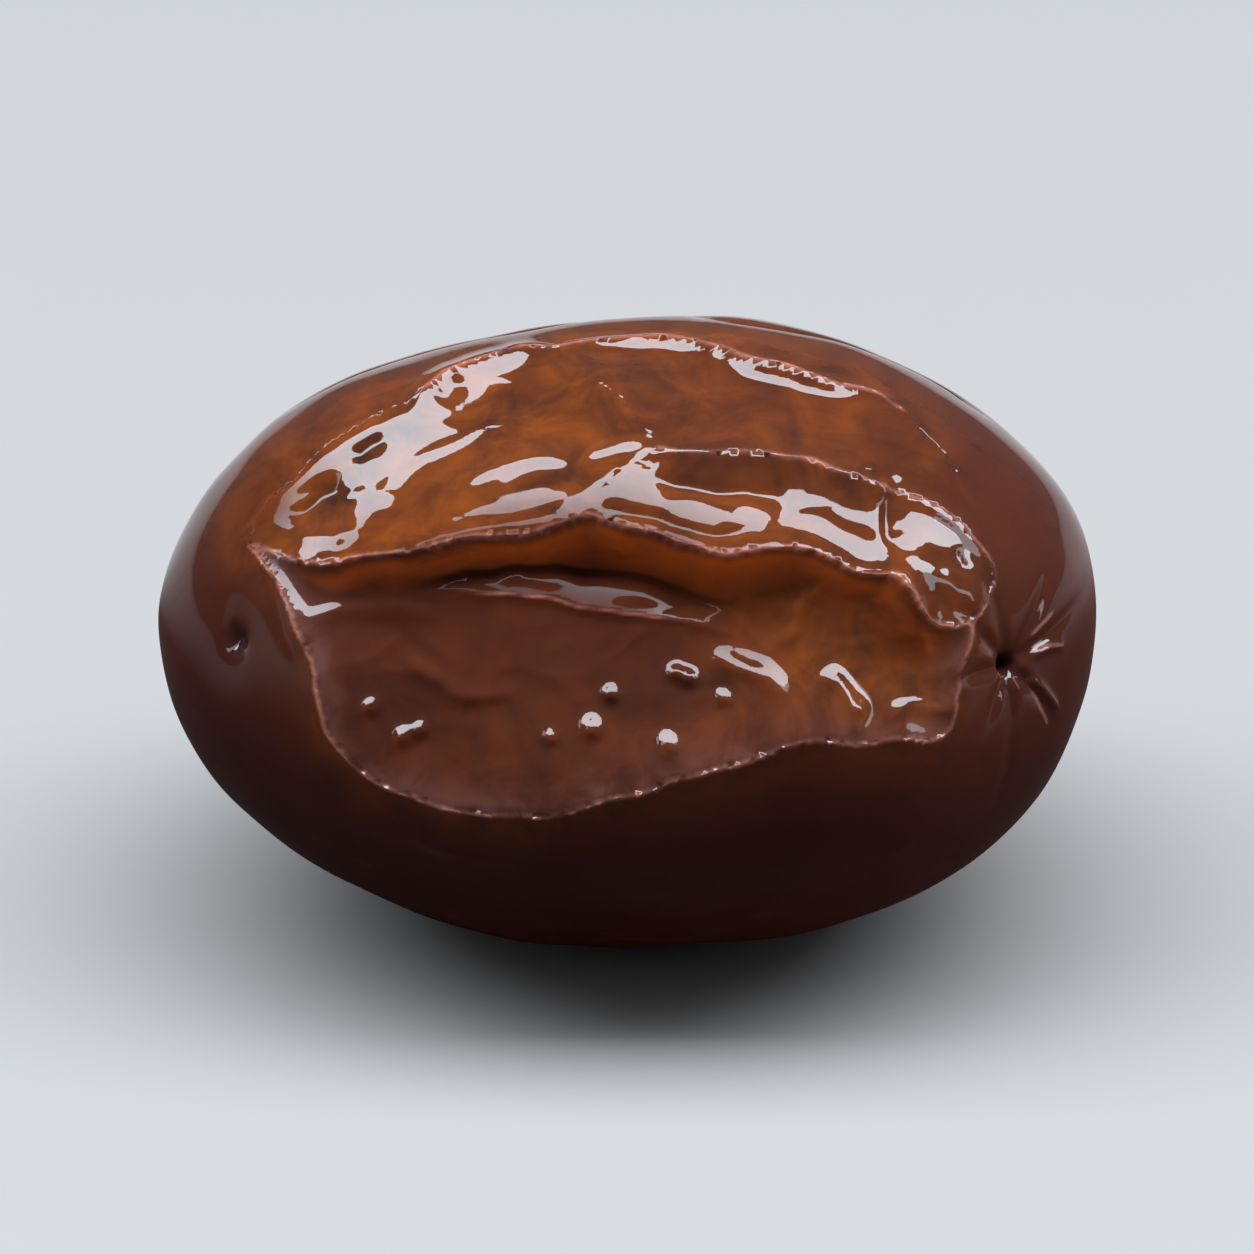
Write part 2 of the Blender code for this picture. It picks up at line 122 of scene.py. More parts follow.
# The finer relief that only shows close up: small folds on the panels and how wide the widest pimple is
SMALL_FOLD_SIZE = 1.25 * MM
SMALL_FOLD_STRETCH = 1.6
SMALL_FOLD_PATCH_SIZE = 3.0 * MM
PIMPLE_WIDTH = 0.25 * MM

# How far from a crest or a line each thing fades: the painted light beside a crest, the pale painted
# highlight line on it and on the rays out of the scar, the dulled oil, the painted sheen inside the front
# basin, and amber on full skin, low down and on top
PAINTED_GLOW_REACH = 0.6 * MM
HIGHLIGHT_LINE_REACH = 0.16 * MM
RAY_HIGHLIGHT_REACH = 0.14 * MM
DULL_REACH = 1.5 * MM
SHEEN_REACH = 0.4 * MM
AMBER_REACH = 0.7 * MM
TOP_AMBER_REACH = 3.1 * MM

# How much less of the painted light beside a crest and of its painted highlight line the back has
PAINTED_GLOW_LOST_AT_BACK = 0.6
HIGHLIGHT_LINE_LOST_AT_BACK = 0.7

# The skin's mottling and relief: the sizes of their features, and how deep the relief is
CLOUD_SIZE = 5.0 * MM
BLOTCH_SIZE = 1.5 * MM
STREAK_SIZE = 0.9 * MM
STREAK_SQUEEZE = (0.22, 1.0, 1.0)
SPECK_SIZE = 0.32 * MM
RIPPLE_SIZE = 1.2 * MM
GRAIN_SIZE = 0.3 * MM
RELIEF_SQUEEZE = (0.6, 1.0, 1.0)
RELIEF_DEPTH = 0.06 * MM

# The stage, in metres: the lights with their places, widths and lengths, and half the floor's side. The
# floor lies a hair under the fruit, so that the two don't touch.
LIGHT_COLOUR = (0.84, 0.91, 1.0)
OVERHEAD = ((0.0, -0.01, 0.62), (1.90, 0.27))
LEFT_STRIP = ((-0.60, -0.20, 0.38), (0.10, 0.36))
RIGHT_STRIP = ((0.62, -0.15, 0.34), (0.10, 0.36))
HALF_FLOOR = 1.5
FLOOR_LEVEL = -0.02 * MM
SKY_COLOUR = (0.96, 0.97, 1.0, 1.0)
SKY_STRENGTH = 0.12

# How dense the grid is: its columns by the roll in degrees, and its rows by the share of the turn from
# tip to stem
COLUMN_DENSITY = [
    (-95.0, 1.0),
    (-26.0, 1.0),
    (-8.0, 2.6),
    (100.0, 2.6),
    (112.0, 1.4),
    (205.0, 1.4),
    (220.0, 1.0),
    (265.0, 1.0),
]
ROW_DENSITY = [(0.0, 0.45), (0.13, 1.0), (0.5, 0.85), (0.87, 1.0), (1.0, 0.45)]
DENSITY_SAMPLES = 4001

# How many points are set against the lines at once, which keeps the tables small, and how many random
# offsets the net of folds draws from
POINTS_AT_ONCE = 4000
NET_OFFSETS = 1024

# The points where crests meet, in (share, roll)
CORNERS = {
    "left": (-0.765, 54.0),
    "left_nose": (-0.56, 44.5),
    "ridge_middle": (-0.09, 50.0),
    "right_nose": (0.51, 40.5),
    "right": (0.68, 34.0),
    "lip_left": (-0.62, 21.0),
    "lip_right": (0.65, 18.0),
    "upper_left": (-0.72, 64.0),
    "upper_bend": (-0.42, 82.5),
    "upper_middle": (-0.12, 92.0),
    "band_middle": (0.06, 64.5),
    "brow_middle": (0.53, 58.5),
    "upper_right": (0.64, 54.5),
    "top_right": (0.56, 81.0),
    "back_left": (-0.70, 134.0),
    "back_middle": (0.06, 143.0),
    "back_right": (0.66, 133.0),
    "low_left": (-0.62, 160.0),
    "low_middle": (-0.12, 168.0),
    "low_right": (0.60, 163.0),
    "under_left": (-0.50, 197.0),
    "under_right": (0.42, 200.0),
}

# The crests with no bead along them, and those of them that are well rounded
BARE_CRESTS = {"band_step", "upper_step", "middle_low", "left_brow", "upper_left_ridge", "right_top"}
ROUNDED_CRESTS = {"left_brow", "upper_left_ridge", "upper_left_crest", "right_top"}

# Each crest: the corners that it runs between and the places that it passes
CRESTS = {
    "left_shoulder": ("left", "left_nose", [(-0.70, 50.0), (-0.63, 46.5)]),
    "ridge_left": ("left_nose", "ridge_middle", [(-0.43, 46.0), (-0.20, 48.0)]),
    "ridge_right": ("ridge_middle", "right_nose", [(0.05, 45.5), (0.22, 45.0), (0.40, 43.5)]),
    "right_shoulder": ("right_nose", "right", [(0.60, 32.0)]),
    "left_lip": ("left", "lip_left", [(-0.715, 46.0), (-0.655, 35.0)]),
    "front_lip": (
        "lip_left",
        "lip_right",
        [
            (-0.61, 11.0),
            (-0.53, 2.5),
            (-0.40, -2.0),
            (-0.23, -2.5),
            (-0.05, 2.0),
            (0.11, 6.0),
            (0.28, 10.5),
            (0.39, 12.5),
            (0.53, 10.5),
            (0.61, 8.0),
            (0.64, 11.0),
        ],
    ),
    "right_lip": ("right", "lip_right", [(0.675, 29.0), (0.655, 23.0)]),
    "left_brow": ("left", "upper_left", [(-0.765, 59.0)]),
    "right_brow": ("right", "upper_right", [(0.72, 45.0)]),
    "upper_left_ridge": ("upper_left", "upper_bend", [(-0.63, 71.5), (-0.51, 78.5)]),
    "upper_left_crest": ("upper_bend", "upper_middle", [(-0.34, 86.0), (-0.24, 90.0)]),
    "upper_step": ("upper_middle", "band_middle", [(-0.05, 79.0)]),
    "band_step": ("ridge_middle", "band_middle", [(-0.04, 57.0)]),
    "upper_right_ridge": ("band_middle", "brow_middle", [(0.21, 61.5), (0.38, 61.0)]),
    "brow_ridge": ("brow_middle", "upper_right", [(0.59, 57.0)]),
    "top_ridge": ("upper_middle", "top_right", [(0.03, 94.5), (0.20, 89.5), (0.36, 83.0), (0.47, 84.0)]),
    "right_top": ("upper_right", "top_right", [(0.65, 68.0)]),
    "back_left_ridge": ("back_left", "back_middle", [(-0.55, 140.0), (-0.36, 141.0), (-0.16, 135.0)]),
    "back_right_ridge": ("back_middle", "back_right", [(0.20, 149.0), (0.40, 143.0), (0.55, 134.0)]),
    "left_low": ("back_left", "low_left", [(-0.74, 147.0)]),
    "middle_low": ("back_middle", "low_middle", [(-0.02, 155.0)]),
    "right_low": ("back_right", "low_right", [(0.71, 148.0)]),
    "low_left_ridge": ("low_left", "low_middle", [(-0.45, 168.0), (-0.28, 164.0)]),
    "low_right_ridge": ("low_middle", "low_right", [(0.10, 175.0), (0.30, 172.0), (0.48, 168.0)]),
    "left_under": ("low_left", "under_left", [(-0.66, 176.0), (-0.60, 190.0)]),
    "right_under": ("low_right", "under_right", [(0.62, 178.0), (0.55, 193.0)]),
    "under_lip": ("under_left", "under_right", [(-0.30, 204.0), (-0.05, 198.0), (0.15, 206.0)]),
}

# Each panel: how deep its skin has sunk, how far in it reaches that depth, how high its net of folds
# stands, how amber its skin is, and the crests round it with how gently the skin falls from each. A
# crest that runs the other way has a minus sign.
PANELS = {
    "front_basin": (
        2.5 * MM,
        1.35 * MM,
        0.05 * MM,
        0.2,
        {
            "left_shoulder": 1.5,
            "ridge_left": 0.62,
            "ridge_right": 0.62,
            "right_shoulder": 1.5,
            "right_lip": 1.4,
            "-front_lip": 2.9,
            "-left_lip": 1.5,
        },
    ),
    "amber_left": (
        1.3 * MM,
        1.2 * MM,
        0.06 * MM,
        1.0,
        {
            "left_brow": 2.6,
            "upper_left_ridge": 1.3,
            "upper_left_crest": 1.3,
            "upper_step": 3.2,
            "-band_step": 4.2,
            "-ridge_left": 1.2,
            "-left_shoulder": 3.4,
        },
    ),
    "right_band": (
        0.55 * MM,
        0.9 * MM,
        0.05 * MM,
        0.85,
        {
            "band_step": 3.6,
            "upper_right_ridge": 1.1,
            "brow_ridge": 4.5,
            "-right_brow": 3.6,
            "-right_shoulder": 1.3,
            "-ridge_right": 1.3,
        },
    ),
    "top_right": (
        0.70 * MM,
        0.6 * MM,
        0.04 * MM,
        0.7,
        {
            "top_ridge": 0.85,
            "-right_top": 4.0,
            "-brow_ridge": 2.8,
            "-upper_right_ridge": 2.8,
            "-upper_step": 3.6,
        },
    ),
    "back_left": (
        1.0 * MM,
        1.0 * MM,
        0.08 * MM,
        0.35,
        {"back_left_ridge": 1.3, "middle_low": 1.6, "-low_left_ridge": 2.6, "-left_low": 2.4},
    ),
    "back_right": (
        0.8 * MM,
        1.0 * MM,
        0.08 * MM,
        0.3,
        {"back_right_ridge": 1.3, "right_low": 2.4, "-low_right_ridge": 2.4, "-middle_low": 1.8},
    ),
    "back_basin": (
        1.7 * MM,
        1.3 * MM,
        0.08 * MM,
        0.15,
        {
            "low_left_ridge": 0.9,
            "low_right_ridge": 0.9,
            "right_under": 2.2,
            "-under_lip": 2.8,
            "-left_under": 2.2,
        },
    ),
}

# Single folds: their height, below 0 for a groove or a dent, their half-width and the places that they
# pass
FOLDS = [
    (-0.60 * MM, 0.60 * MM, [(-0.46, 43.0), (-0.23, 43.5), (-0.02, 41.5), (0.24, 36.5)]),
    (0.12 * MM, 0.20 * MM, [(-0.46, 39.0), (-0.23, 36.5), (-0.02, 33.5), (0.23, 29.5)]),
    (0.15 * MM, 0.35 * MM, [(-0.46, 26.0), (-0.36, 19.0), (-0.22, 18.0)]),
    (0.14 * MM, 0.40 * MM, [(-0.64, 33.0), (-0.50, 36.0), (-0.38, 33.0)]),
    (0.08 * MM, 0.35 * MM, [(-0.62, 22.0), (-0.52, 25.0), (-0.46, 30.0)]),
    (0.24 * MM, 0.50 * MM, [(0.16, 24.0), (0.25, 23.5), (0.34, 18.0)]),
    (0.20 * MM, 0.38 * MM, [(0.40, 23.0), (0.43, 18.0), (0.44, 13.0)]),
    (0.12 * MM, 0.30 * MM, [(0.66, 13.0), (0.56, 16.0), (0.49, 15.0)]),
    (0.28 * MM, 1.30 * MM, [(0.50, 45.0), (0.60, 39.5), (0.71, 36.5)]),
    (0.22 * MM, 0.80 * MM, [(-0.47, 83.0), (-0.36, 86.5), (-0.26, 90.0), (-0.15, 93.0)]),
    (-0.20 * MM, 0.55 * MM, [(-0.72, 106.0), (-0.48, 113.0), (-0.20, 112.0), (0.06, 117.0)]),
    (-0.18 * MM, 0.50 * MM, [(0.10, 111.0), (0.34, 107.0), (0.60, 112.0), (0.76, 107.0)]),
    (-0.16 * MM, 0.45 * MM, [(-0.40, 125.0), (-0.10, 127.0), (0.22, 131.0), (0.42, 127.0)]),
    (0.20 * MM, 0.35 * MM, [(-0.44, 181.0), (-0.20, 178.0), (0.08, 186.0), (0.34, 184.0)]),
]

# The places of the groove and of the low ridge inside the front basin
INNER_GROOVE = FOLDS[0][-1]
INNER_RIDGE = FOLDS[1][-1]

# Finer folds and dents, which the solid leaves out, given in the same way
FINE_FOLDS = [
    (0.18 * MM, 0.30 * MM, [(0.50, 43.0), (0.56, 34.0), (0.60, 26.0)]),
    (0.16 * MM, 0.30 * MM, [(0.40, 42.0), (0.36, 34.0), (0.33, 26.0)]),
    (-0.17 * MM, 0.36 * MM, [(0.04, 57.5), (0.18, 56.0), (0.33, 54.5)]),
    (-0.09 * MM, 0.16 * MM, [(-0.06, 50.5), (0.10, 48.6), (0.26, 47.8)]),
    (-0.14 * MM, 0.30 * MM, [(0.30, 59.0), (0.32, 53.0), (0.31, 46.0)]),
    (-0.14 * MM, 0.24 * MM, [(0.53, 62.0), (0.515, 54.0), (0.53, 44.0)]),
    (-0.09 * MM, 0.16 * MM, [(0.20, 25.5), (0.29, 22.5)]),
    (-0.16 * MM, 0.50 * MM, [(-0.69, 58.0), (-0.63, 62.0), (-0.57, 64.0)]),
    (-0.10 * MM, 0.28 * MM, [(-0.55, 69.0), (-0.49, 72.0)]),
    (-0.10 * MM, 0.26 * MM, [(-0.40, 80.0), (-0.32, 84.0)]),
    (-0.06 * MM, 0.25 * MM, [(-0.38, 49.5), (-0.25, 52.5), (-0.12, 54.5)]),
    (0.10 * MM, 0.30 * MM, [(-0.34, 60.0), (-0.22, 62.5), (-0.12, 62.0)]),
    (0.09 * MM, 0.28 * MM, [(-0.10, 63.0), (-0.03, 65.5), (0.03, 66.0)]),
    (0.16 * MM, 0.60 * MM, [(-0.68, 54.0), (-0.61, 51.5), (-0.53, 49.5)]),
    (0.12 * MM, 0.14 * MM, [(0.81, 17.0), (0.845, 10.0), (0.87, 0.0)]),
    (0.10 * MM, 0.12 * MM, [(0.81, 22.0), (0.84, 24.0), (0.87, 25.0)]),
    (-0.06 * MM, 0.22 * MM, [(0.02, 62.0), (0.06, 60.0)]),
    (-0.07 * MM, 0.22 * MM, [(0.46, 62.0), (0.51, 60.0)]),
    (-0.07 * MM, 0.20 * MM, [(0.63, 48.0), (0.655, 44.0)]),
    (0.06 * MM, 0.20 * MM, [(-0.69, 61.0), (-0.62, 64.0)]),
    (0.05 * MM, 0.22 * MM, [(-0.44, -13.0), (-0.36, -15.0), (-0.24, -14.0)]),
    (0.05 * MM, 0.22 * MM, [(0.27, -30.0), (0.34, -31.0), (0.42, -30.0)]),
    (0.05 * MM, 0.20 * MM, [(0.50, -18.0), (0.56, -17.0)]),
]

# Painted highlights: the pale rays out of the stem scar, each by the places that it passes
RAY_HIGHLIGHTS = [
    [(0.800, 16.0), (0.830, 8.0), (0.862, -6.0)],
    [(0.800, 23.0), (0.845, 25.0), (0.885, 24.0)],
    [(0.800, 26.0), (0.830, 33.0), (0.862, 40.0)],
]

# Pimples in the sunken front, in (share, roll)
PIMPLES = [
    (-0.51, 15.0),
    (-0.445, 9.5),
    (-0.415, 11.0),
    (-0.155, 11.0),
    (-0.072, 13.0),
    (-0.035, 19.0),
    (0.081, 11.0),
    (0.126, 22.0),
    (0.10, 23.0),
    (0.195, 18.5),
    (0.453, 16.4),
]


def colour_property(name, description, default):
    return FloatVectorProperty(
        name=name, description=description, default=default, subtype="COLOR", min=0.0, max=1.0
    )


class OliveShape(bpy.types.PropertyGroup):
    length: FloatProperty(
        name="Length", description="From tip to stem end",
        default=25.0 * MM, min=0.001, unit="LENGTH",
    )
    width: FloatProperty(
        name="Width", description="From front to back before the fruit shrank",
        default=17.3 * MM, unit="LENGTH",
    )
    height: FloatProperty(
        name="Height", description="From under to top before the fruit shrank",
        default=16.9 * MM, unit="LENGTH",
    )
    flat_spot: FloatProperty(
        name="Flat spot", description="How far the underside is pressed flat",
        default=0.22 * MM, unit="LENGTH",
    )
    lumps: FloatProperty(
        name="Lumps", description="Height of the gentle unevenness",
        default=0.2 * MM, unit="LENGTH",
    )
    beads: FloatProperty(
        name="Crest beads", description="Height of the skin gathered along a crest",
        default=0.09 * MM, unit="LENGTH",
    )
    small_folds: FloatProperty(
        name="Small folds", description="Height of the finest folds on the panels",
        default=0.03 * MM, unit="LENGTH",
    )
    pimples: FloatProperty(
        name="Pimples", description="Height of the pimples in the sunken front",
        default=0.29 * MM, unit="LENGTH",
    )
    rows: IntProperty(
        name="Rows", description="Steps of the grid along the fruit",
        default=300, min=8,
    )
    columns: IntProperty(
        name="Columns", description="Steps of the grid round the fruit",
        default=330, min=8,
    )


class OliveSkin(bpy.types.PropertyGroup):
    # Lit and shaded copies of the full maroon skin: the darker one low down is painted shade, the lighter
    # one on top is painted light
    shaded_belly: colour_property("Belly", "Full skin low down and at the tip", (0.014, 0.0027, 0.0022))
    lit_shoulder: colour_property("Shoulder", "Full skin on top and at the stem end", (0.052, 0.0125, 0.0072))
    amber: colour_property("Amber", "Thin skin that has sunk in", (0.135, 0.031, 0.0055))
    # Painted light: orange light through the thin skin beside a steep crest, put into the colour
    painted_glow: colour_property("Glow", "Skin with light in it, beside a steep crest", (0.420, 0.075, 0.0110))
    hollow: colour_property("Hollow", "Dull skin on the floor of the sunken front", (0.028, 0.0085, 0.0055))
    pit: colour_property("Pit", "Inside the stem scar and the tip pit", (0.012, 0.006, 0.005))
    # Painted sheen: the pale mauve sheen just inside the sunken front
    painted_sheen: colour_property("Veil", "The pale skin just inside the sunken front", (0.105, 0.046, 0.041))
    # Painted highlight: the thin pale line along a crest, along the scar's rays and along the low ridge in
    # the front basin
    edge: colour_property("Edge", "The thin pale line along a crest", (0.340, 0.140, 0.110))
    roughness: FloatProperty(
        name="Roughness", description="Of the skin under its oil",
        default=0.3, min=0.0, max=1.0, subtype="FACTOR",
    )
    oil: FloatProperty(
        name="Oil", description="How fully the film of oil covers the skin",
        default=0.95, min=0.0, max=1.0, subtype="FACTOR",
    )
    light_depth: FloatProperty(
        name="Light depth", description="How deep red light goes into the flesh",
        default=1.1 * MM, unit="LENGTH",
    )


class OliveStage(bpy.types.PropertyGroup):
    floor: colour_property("Floor", "Colour of the floor", (0.235, 0.225, 0.215))
    camera_rise: FloatProperty(
        name="Camera rise", description="Angle of the view above level",
        default=math.radians(30.0), subtype="ANGLE",
    )
    camera_distance: FloatProperty(
        name="Camera distance", description="From the middle of the fruit",
        default=80.0 * MM, unit="LENGTH",
    )
    lens: FloatProperty(name="Lens", description="Focal length in millimetres", default=85.0, min=10.0)
    key_light: FloatProperty(
        name="Key light", description="Brightness of the softbox overhead",
        default=16.0, min=0.0,
    )
    side_light: FloatProperty(
        name="Side light", description="Brightness of the strips at the sides",
        default=5.0, min=0.0,
    )


def unit(vectors):
    return vectors / np.linalg.norm(vectors, axis=1, keepdims=True)


def direction_of(places):
    """Unit vectors of (share, roll) places: X is the share, and the roll turns from the front over
    the top."""
    share, roll = np.asarray(places, float).T
    across = np.sqrt(np.clip(1.0 - share**2, 0.0, 1.0))
    turn = np.radians(roll)
    return np.stack([share, -across * np.cos(turn), across * np.sin(turn)], axis=1)


def place_of(direction):
    """The share and the roll of each unit vector, the roll from -90 to 270 so that its seam is
    underneath."""
    roll = np.degrees(np.arctan2(direction[:, 2], -direction[:, 1]))
    return direction[:, 0], np.where(roll < -90.0, roll + 360.0, roll)


def smooth_noise(points, seed):
    """Gradient noise, about -1 to 1: a random slope at each whole-number point, blended smoothly
    between them."""
    draw = np.random.default_rng(seed)
    slopes = unit(draw.normal(size=(256, 3)))
    shuffle = draw.permutation(256)
    cell = np.floor(points).astype(int)
    inside = points - cell
    blend = inside**3 * (inside * (inside * 6.0 - 15.0) + 10.0)
    total = np.zeros(len(points))
    for corner in np.ndindex(2, 2, 2):
        at = cell + corner
        pick = shuffle[(shuffle[(shuffle[at[:, 0] % 256] + at[:, 1]) % 256] + at[:, 2]) % 256]
        weight = np.prod(np.where(corner, blend, 1.0 - blend), axis=1)
        total += weight * np.sum(slopes[pick] * (inside - corner), axis=1)
    return 1.7 * total


def fold_net(points, seed):
    """1 on a net of folds, falling to 0 in its hollows: it goes by how much nearer the nearest of
    many scattered points is than the second nearest, after the points have been shifted by noise to
    bend the folds."""
    bend = np.stack([smooth_noise(points / NET_BEND_SIZE, seed + axis) for axis in (1, 2, 3)], axis=1)
    spots = (points + NET_BEND_REACH * bend) / (NET_CELL * NET_STRETCH, NET_CELL, NET_CELL)
    offsets = np.random.default_rng(seed).random((NET_OFFSETS, 3))
    cell = np.floor(spots).astype(int)
    nearest = np.full(len(spots), np.inf)
    second = nearest.copy()
    for corner in np.ndindex(3, 3, 3):
        at = cell + corner - 1
        pick = (at[:, 0] * 73856093 ^ at[:, 1] * 19349663 ^ at[:, 2] * 83492791) % NET_OFFSETS
        distance = np.linalg.norm(at + offsets[pick] - spots, axis=1)
        second = np.minimum(second, np.maximum(nearest, distance))
        nearest = np.minimum(nearest, distance)
    return np.exp(-(((second - nearest) / NET_FOLD_WIDTH) ** 1.5))


def smooth_through(places, count=12):
    """A Catmull-Rom curve through the places, with so many steps between each two."""
    knots = np.array([2 * np.array(places[0]) - places[1], *places, 2 * np.array(places[-1]) - places[-2]])
    before, start, end, after = knots[:-3], knots[1:-2], knots[2:-1], knots[3:]
    curve = []
    for share in np.arange(count) / count:
        bow = (end - before) * share + (2 * before - 5 * start + 4 * end - after) * share**2
        curve.append(start + (bow + (3 * start - before - 3 * end + after) * share**3) / 2)
    return np.vstack([np.stack(curve, axis=1).reshape(-1, 2), places[-1]])


def within(rim, direction):
    """True where a unit vector lies inside the rim: the rim passes on one side of it an odd number of
    times."""
    share, roll = place_of(direction)
    starts = np.stack(place_of(rim), axis=1)
    inside = np.zeros(len(direction), bool)
    for (start_share, start_roll), (end_share, end_roll) in zip(starts, np.roll(starts, -1, axis=0)):
        spans = (start_roll > roll) != (end_roll > roll)
        slope = (end_share - start_share) / ((end_roll - start_roll) or 1.0)
        inside ^= spans & (share < start_share + slope * (roll - start_roll))
    return inside


def soft_distance(points, rim, gentleness, rounding):
    """(distance, rounding): the distance to a closed rim, as a mean over it, and the mean rounding of
    the rim there. The distance is pi divided by the sum, for each piece, of the angle that the piece
    fills as seen from the point over the height of the point above the piece's line. It meets the rim
    as true distance does, over the gentleness there, and has no crease in the middle of the panel."""
    pull, turn = np.zeros((2, len(points)))
    for start, end, gentle, rounded in zip(rim, np.roll(rim, -1, axis=0), gentleness, rounding):
        to_start, to_end = start - points, end - points
        area = np.maximum(np.linalg.norm(np.cross(to_start, to_end), axis=1), 1e-12)
        angle = np.arctan2(area, np.sum(to_start * to_end, axis=1))
        here = gentle * angle * np.linalg.norm(end - start) / area
        pull += here
        turn += rounded * here
    return math.pi / pull, turn / pull


class Fruit:
    """The form of the fruit, worked out from its sizes: every method takes or gives unit vectors from
    its middle."""

    def __init__(self, shape):
        self.shape = shape
        self.half = np.array([shape.length, shape.width, shape.height]) / 2
        self.crests = {}
        for name, (start, end, between) in CRESTS.items():
            self.crests[name] = self.drawn_line([CORNERS[start], *between, CORNERS[end]])

    def plain(self, direction):
        """Points of the blunt ellipsoid, fuller at the stem end, whose two ends bend a little to the
        front."""
        along = direction[:, :1]
        across = np.linalg.norm(direction[:, 1:], axis=1, keepdims=True)
        swell = (np.abs(along) ** BLUNTNESS + across**BLUNTNESS) ** (-1.0 / BLUNTNESS)
        points = direction * swell * self.half
        points[:, 1:] *= 1.0 + TAPER * along
        bend = math.radians(BEND_ROLL)
        return points + BEND * along**2 * (0.0, -math.cos(bend), math.sin(bend))

    def outward(self, direction):
        """Unit normals of the ellipsoid, near enough to those of the plain fruit."""
        return unit(direction / self.half)

    def drawn_line(self, places):
        """Unit vectors at even steps along a smooth line through the places, which wanders as creases
        do."""
        line = smooth_through(places)
        points = self.plain(direction_of(line))
        for number, (size, reach) in enumerate(WANDERS):
            along = smooth_noise(points / size, SEED + 20 + number) / self.half[0]
            round_axis = smooth_noise(points / size, SEED + 30 + number) / self.half[1]
            line = line + np.stack([along, np.degrees(round_axis)], axis=1) * reach
        line = direction_of(line)
        pieces = np.linalg.norm(np.diff(self.plain(line), axis=0), axis=1)
        travelled = np.concatenate([[0.0], np.cumsum(pieces)])
        stops = np.linspace(0.0, travelled[-1], max(2, round(travelled[-1] / CREST_PIECE)) + 1)
        return unit(np.stack([np.interp(stops, travelled, line[:, axis]) for axis in range(3)], axis=1))

    def crest_lines(self):
        return list(self.crests.values())

    def sharp_lines(self):
        return [line for name, line in self.crests.items() if name not in BARE_CRESTS]

    def outer_lines(self):
        """The crests with a panel on one side only."""
        used = [name.lstrip("-") for panel in PANELS.values() for name in panel[-1]]
        return [line for name, line in self.crests.items() if used.count(name) == 1]

    def rim_of(self, crests):
        """The closed rim of a panel: its unit vectors, and the gentleness and the rounding of the
        piece that starts at each."""
        rim, gentleness, rounding = [], [], []
        for name, gentle in crests.items():
            line = self.crests[name.lstrip("-")]
            line = line[::-1] if name.startswith("-") else line
            rim.append(line[:-1])
            gentleness.append(np.full(len(line) - 1, gentle))
            wide = name.lstrip("-") in ROUNDED_CRESTS
            rounding.append(np.full(len(line) - 1, WIDE_ROUNDING if wide else CREST_ROUNDING))
        return np.vstack(rim), np.concatenate(gentleness), np.concatenate(rounding)

    def nearest_on(self, direction, lines):
        """(distance, unit vector, along): how far each point of the plain fruit is from the nearest
        of the lines, the place on it, and the share of the lines' pieces that come before that place.
        The piece whose middle is nearest is taken, and the point is dropped onto it."""
        starts = np.vstack([line[:-1] for line in lines])
        ends = np.vstack([line[1:] for line in lines])
        start_points, end_points = self.plain(starts), self.plain(ends)
        middles = (start_points + end_points) / 2
        points = self.plain(direction)
        parts = np.array_split(points, 1 + len(points) // POINTS_AT_ONCE)
        away = [np.sum(middles**2, axis=1) - 2 * part @ middles.T for part in parts]
        pick = np.concatenate([np.argmin(part, axis=1) for part in away])
        run = end_points[pick] - start_points[pick]
        share = np.sum((points - start_points[pick]) * run, axis=1) / np.sum(run * run, axis=1)
        share = np.clip(share, 0.0, 1.0)[:, None]
        distance = np.linalg.norm(start_points[pick] + share * run - points, axis=1)
        on_line = unit(starts[pick] * (1.0 - share) + ends[pick] * share)
        return distance, on_line, (pick + share[:, 0]) / len(starts)

    def drawn_to_crests(self, direction):
        """The unit vectors, those nearest a crest moved onto it, so that edges of the grid run along
        the crests."""
        distance, on_crest, _ = self.nearest_on(direction, self.crest_lines())
        hold = np.clip(2.0 - distance / CREST_PULL, 0.0, 1.0)[:, None]
        return unit(direction + (on_crest - direction) * hold)

    def sunken_panels(self, direction):
        """(sink, sunken, amber, in_front): how far the skin has sunk, less its net of folds, how much
        of its panel's depth it has reached, how amber it is, and whether it lies in the front basin.
        The basin is more amber towards the stem end and low down."""
        points = self.plain(direction)
        net = fold_net(points, SEED)
        sink, sunken, amber = np.zeros((3, len(points)))
        in_front = np.zeros(len(points), bool)
        for name, (depth, fall, net_height, amberness, crests) in PANELS.items():
            rim, gentleness, rounding = self.rim_of(crests)
            held = np.flatnonzero(within(rim, direction))
            distance, turn = soft_distance(points[held], self.plain(rim), gentleness, rounding)
            rounded = np.sqrt(distance**2 + turn**2) - turn
            sunken[held] = 1.0 - np.exp(-rounded / fall)
            sink[held] = depth * sunken[held] - net_height * net[held] * np.minimum(1.0, 2.0 * sunken[held])
            amber[held] = amberness
            if name == "front_basin":
                amber[held] += 0.8 * np.clip((direction[held, 0] - 0.05) / 0.35, 0.0, 1.0)
                amber[held] += 0.3 * np.clip((0.45 - direction[held, 2]) / 0.35, 0.0, 1.0)
                in_front[held] = True
        return sink, sunken, amber, in_front

    def beads_and_folds(self, direction, crest_distance):
        """The bead along the crests, higher in some places than in others, and the single folds."""
        points = self.plain(direction)
        strength = np.clip(0.6 + 0.6 * smooth_noise(points / BEAD_CHANGE_SIZE, SEED + 4), 0.0, 1.2)
        rise = self.shape.beads * strength * np.exp(-((crest_distance / BEAD_WIDTH) ** 2))
        for height, width, places in FOLDS + FINE_FOLDS:
            distance, _, along = self.nearest_on(direction, [self.drawn_line(places)])
            taper = np.clip(6.0 * along * (1.0 - along), 0.0, 1.0)
            rise += height * taper / (1.0 + (distance / width) ** 2) ** 2
        return rise

